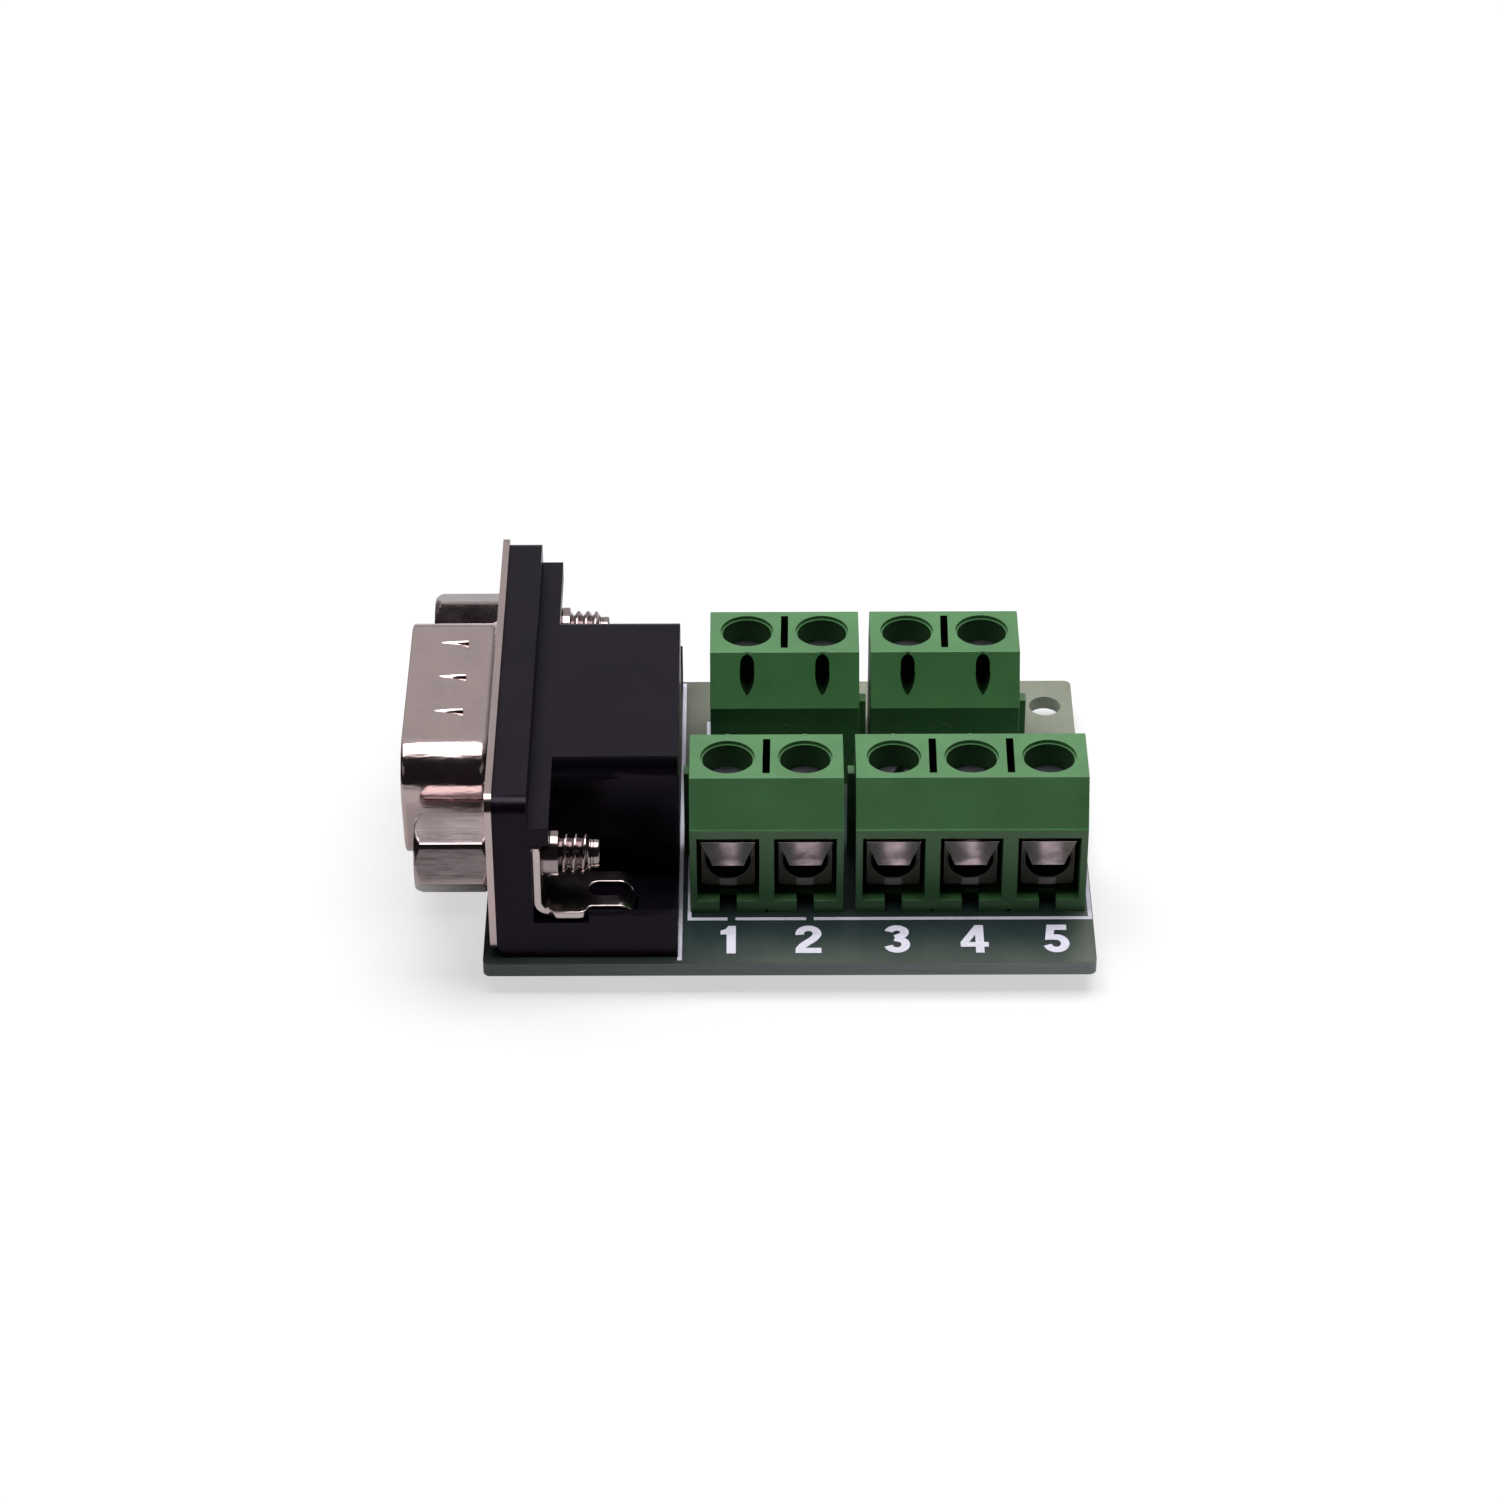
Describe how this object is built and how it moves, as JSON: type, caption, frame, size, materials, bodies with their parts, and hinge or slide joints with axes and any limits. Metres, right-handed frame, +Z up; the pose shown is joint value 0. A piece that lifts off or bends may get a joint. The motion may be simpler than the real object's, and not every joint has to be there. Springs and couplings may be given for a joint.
{
  "type": "d-sub terminal block adapter",
  "caption": "Breakout board joining a male D-sub connector on one edge to two rows of green screw terminals, with hexagonal jackscrews.",
  "frame": {"origin": "middle of the bounding box in X and Y, on the plane that the trimmed leads under the board stand on", "axes": "+X away from the D-sub connector's mouth, +Y from the front row of terminals to the back row, +Z up from the board"},
  "size_m": [0.0454, 0.0316, 0.0154],
  "materials": {
    "board": "dark green solder mask, satin",
    "black_plastic": "moulded, fine satin",
    "green_plastic": "moulded, satin",
    "shell_plate": "bright tin plate on drawn steel",
    "contact_gold": "thin gold over brass",
    "bracket_plate": "dull tin plate",
    "jack_plate": "nickel plate, machined",
    "cage_plate": "nickel plated brass block",
    "screw_plate": "zinc plated steel",
    "strip_plate": "tin plated strip",
    "solder": "bright solder"
  },
  "bodies": {
    "adapter": {"circuit_board": "board", "dsub_shell": "shell_plate", "dsub_insulator": "black_plastic", "dsub_housing": "black_plastic", "ground_bracket_front": "bracket_plate", "ground_bracket_back": "bracket_plate", "threaded_collar_front": "jack_plate", "threaded_collar_back": "jack_plate", "jackscrew_front": "jack_plate", "jackscrew_back": "jack_plate", "terminal_block_front_left": "green_plastic", "terminal_block_front_right": "green_plastic", "terminal_block_back_left": "green_plastic", "terminal_block_back_right": "green_plastic", "solder_joints": "solder", "dsub_contact_1": "contact_gold", "contact_strip_1": "strip_plate", "dsub_contact_2": "contact_gold", "contact_strip_2": "strip_plate", "dsub_contact_3": "contact_gold", "contact_strip_3": "strip_plate", "dsub_contact_4": "contact_gold", "contact_strip_4": "strip_plate", "dsub_contact_5": "contact_gold", "contact_strip_5": "strip_plate", "dsub_contact_6": "contact_gold", "contact_strip_6": "strip_plate", "dsub_contact_7": "contact_gold", "contact_strip_7": "strip_plate", "dsub_contact_8": "contact_gold", "contact_strip_8": "strip_plate", "dsub_contact_9": "contact_gold", "contact_strip_9": "strip_plate"},
    "screw_1": {"clamp_screw_1": "screw_plate"},
    "cage_1": {"clamp_cage_1": "cage_plate"},
    "screw_2": {"clamp_screw_2": "screw_plate"},
    "cage_2": {"clamp_cage_2": "cage_plate"},
    "screw_3": {"clamp_screw_3": "screw_plate"},
    "cage_3": {"clamp_cage_3": "cage_plate"},
    "screw_4": {"clamp_screw_4": "screw_plate"},
    "cage_4": {"clamp_cage_4": "cage_plate"},
    "screw_5": {"clamp_screw_5": "screw_plate"},
    "cage_5": {"clamp_cage_5": "cage_plate"},
    "screw_6": {"clamp_screw_6": "screw_plate"},
    "cage_6": {"clamp_cage_6": "cage_plate"},
    "screw_7": {"clamp_screw_7": "screw_plate"},
    "cage_7": {"clamp_cage_7": "cage_plate"},
    "screw_8": {"clamp_screw_8": "screw_plate"},
    "cage_8": {"clamp_cage_8": "cage_plate"},
    "screw_9": {"clamp_screw_9": "screw_plate"},
    "cage_9": {"clamp_cage_9": "cage_plate"}
  },
  "joints": [
    {"name": "screw_turn_1", "type": "hinge", "parent": "adapter", "child": "screw_1", "pos_m": [-0.00136, -0.00667, 0.0096], "axis": [0, 0, 1], "range_deg": [-722, 482]},
    {"name": "cage_lift_1", "type": "slide", "parent": "adapter", "child": "cage_1", "axis": [0, 0, 1], "range_m": [-0.0006, 0.0009]},
    {"name": "screw_turn_2", "type": "hinge", "parent": "adapter", "child": "screw_2", "pos_m": [0.00373, -0.00667, 0.0096], "axis": [0, 0, 1], "range_deg": [-722, 482]},
    {"name": "cage_lift_2", "type": "slide", "parent": "adapter", "child": "cage_2", "axis": [0, 0, 1], "range_m": [-0.0006, 0.0009]},
    {"name": "screw_turn_3", "type": "hinge", "parent": "adapter", "child": "screw_3", "pos_m": [0.00953, -0.00667, 0.0096], "axis": [0, 0, 1], "range_deg": [-722, 482]},
    {"name": "cage_lift_3", "type": "slide", "parent": "adapter", "child": "cage_3", "axis": [0, 0, 1], "range_m": [-0.0006, 0.0009]},
    {"name": "screw_turn_4", "type": "hinge", "parent": "adapter", "child": "screw_4", "pos_m": [0.0146, -0.00667, 0.0096], "axis": [0, 0, 1], "range_deg": [-722, 482]},
    {"name": "cage_lift_4", "type": "slide", "parent": "adapter", "child": "cage_4", "axis": [0, 0, 1], "range_m": [-0.0006, 0.0009]},
    {"name": "screw_turn_5", "type": "hinge", "parent": "adapter", "child": "screw_5", "pos_m": [0.01969, -0.00667, 0.0096], "axis": [0, 0, 1], "range_deg": [-722, 482]},
    {"name": "cage_lift_5", "type": "slide", "parent": "adapter", "child": "cage_5", "axis": [0, 0, 1], "range_m": [-0.0006, 0.0009]},
    {"name": "screw_turn_6", "type": "hinge", "parent": "adapter", "child": "screw_6", "pos_m": [-0.00009, 0.00768, 0.0096], "axis": [0, 0, 1], "range_deg": [-722, 482]},
    {"name": "cage_lift_6", "type": "slide", "parent": "adapter", "child": "cage_6", "axis": [0, 0, 1], "range_m": [-0.0006, 0.0009]},
    {"name": "screw_turn_7", "type": "hinge", "parent": "adapter", "child": "screw_7", "pos_m": [0.005, 0.00768, 0.0096], "axis": [0, 0, 1], "range_deg": [-722, 482]},
    {"name": "cage_lift_7", "type": "slide", "parent": "adapter", "child": "cage_7", "axis": [0, 0, 1], "range_m": [-0.0006, 0.0009]},
    {"name": "screw_turn_8", "type": "hinge", "parent": "adapter", "child": "screw_8", "pos_m": [0.01076, 0.00768, 0.0096], "axis": [0, 0, 1], "range_deg": [-722, 482]},
    {"name": "cage_lift_8", "type": "slide", "parent": "adapter", "child": "cage_8", "axis": [0, 0, 1], "range_m": [-0.0006, 0.0009]},
    {"name": "screw_turn_9", "type": "hinge", "parent": "adapter", "child": "screw_9", "pos_m": [0.01583, 0.00768, 0.0096], "axis": [0, 0, 1], "range_deg": [-722, 482]},
    {"name": "cage_lift_9", "type": "slide", "parent": "adapter", "child": "cage_9", "axis": [0, 0, 1], "range_m": [-0.0006, 0.0009]}
  ],
  "couplings": [
    {"joint": "screw_turn_1", "follows": "cage_lift_1", "rad_per_m": -13963},
    {"joint": "screw_turn_2", "follows": "cage_lift_2", "rad_per_m": -13963},
    {"joint": "screw_turn_3", "follows": "cage_lift_3", "rad_per_m": -13963},
    {"joint": "screw_turn_4", "follows": "cage_lift_4", "rad_per_m": -13963},
    {"joint": "screw_turn_5", "follows": "cage_lift_5", "rad_per_m": -13963},
    {"joint": "screw_turn_6", "follows": "cage_lift_6", "rad_per_m": -13963},
    {"joint": "screw_turn_7", "follows": "cage_lift_7", "rad_per_m": -13963},
    {"joint": "screw_turn_8", "follows": "cage_lift_8", "rad_per_m": -13963},
    {"joint": "screw_turn_9", "follows": "cage_lift_9", "rad_per_m": -13963}
  ]
}
